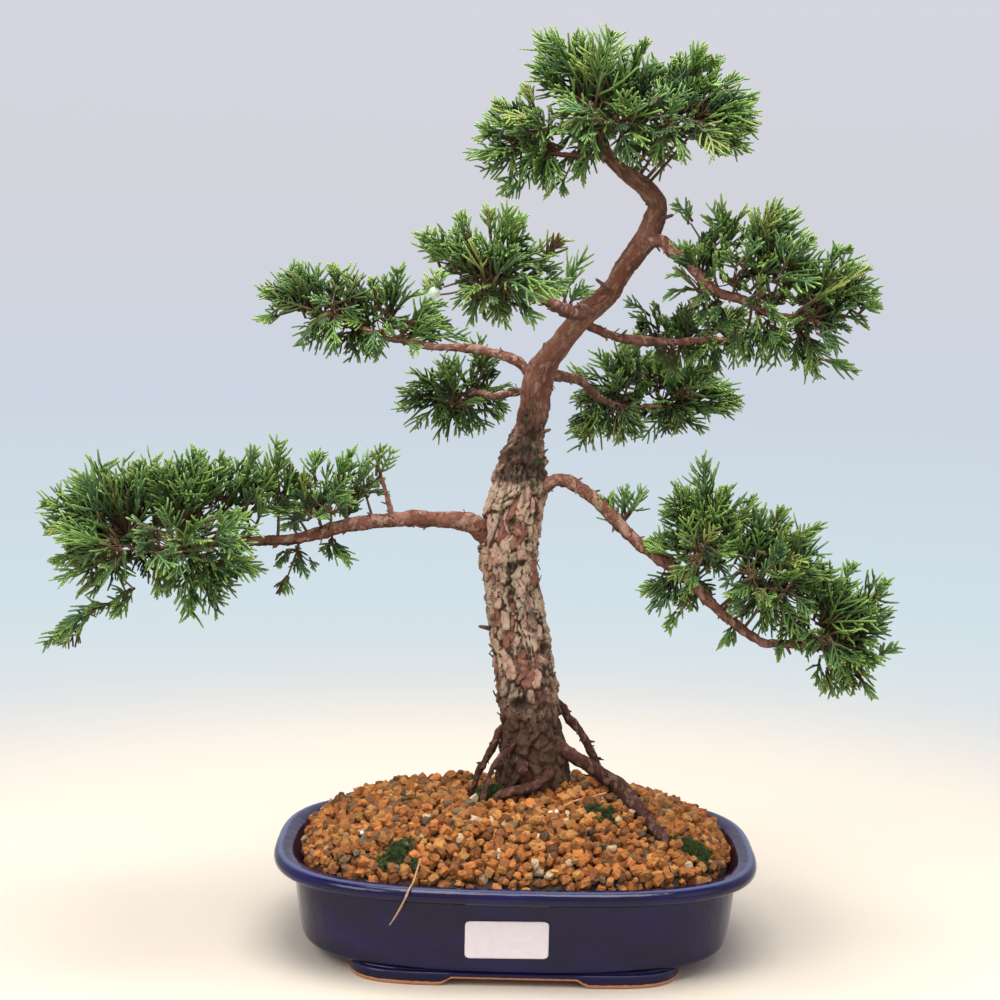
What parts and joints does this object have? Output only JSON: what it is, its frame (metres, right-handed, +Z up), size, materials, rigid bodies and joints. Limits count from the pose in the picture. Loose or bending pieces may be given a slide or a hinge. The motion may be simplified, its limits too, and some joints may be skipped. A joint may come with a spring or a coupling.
{
  "type": "potted juniper bonsai",
  "caption": "Windswept juniper bonsai with scale foliage in open pads, standing in gravel-topped soil in a shallow rounded rectangular glazed pot.",
  "frame": {"origin": "middle of the bottom of the whole object's bounding box, level with the underside of the pot's feet", "axes": "+Z up along the trunk, +X to the viewer's right along the pot's long side, +Y from the front of the pot to its back"},
  "size_m": [0.4306, 0.2588, 0.4699],
  "materials": {
    "glaze": "gloss",
    "screen_plastic": "matte",
    "soil": "matte",
    "gravel": "matte",
    "trunk_bark": "matte",
    "limb_bark": "satin",
    "root_bark": "satin",
    "foliage": "matte",
    "moss": "matte",
    "label": "satin",
    "berry": "matte",
    "dry_stem": "matte"
  },
  "bodies": {
    "root": {"berry": "berry", "drain_screen_left": "screen_plastic", "drain_screen_right": "screen_plastic", "dry_needle": "dry_stem", "dry_stem": "dry_stem", "foliage_apex_crown": "foliage", "foliage_apex_left": "foliage", "foliage_apex_right": "foliage", "foliage_front_tuft": "foliage", "foliage_left_back": "foliage", "foliage_lower_left_inner": "foliage", "foliage_lower_left_mid": "foliage", "foliage_lower_left_tip": "foliage", "foliage_lower_right_inner": "foliage", "foliage_lower_right_mid": "foliage", "foliage_lower_right_tip": "foliage", "foliage_mid_right": "foliage", "foliage_right_back_inner": "foliage", "foliage_right_back_tip": "foliage", "foliage_upper_left_inner": "foliage", "foliage_upper_left_tip": "foliage", "foliage_upper_right_inner": "foliage", "foliage_upper_right_mid": "foliage", "foliage_upper_right_tip": "foliage", "gravel_bed": "gravel", "label_blank": "label", "limb_apex_left": "limb_bark", "limb_front": "limb_bark", "limb_left_back": "limb_bark", "limb_lower_left": "limb_bark", "limb_lower_right": "limb_bark", "limb_mid_right": "limb_bark", "limb_right_back": "limb_bark", "limb_upper_left": "limb_bark", "limb_upper_right": "limb_bark", "moss_front_left": "moss", "moss_front_right": "moss", "moss_right": "moss", "pot": "glaze", "root_front_low": "root_bark", "root_front_peg": "root_bark", "root_left_dark": "root_bark", "root_left_front": "root_bark", "root_right_arch": "root_bark", "root_right_long": "root_bark", "soil": "soil", "trunk": "trunk_bark", "twig_bare": "limb_bark"}
  },
  "joints": []
}
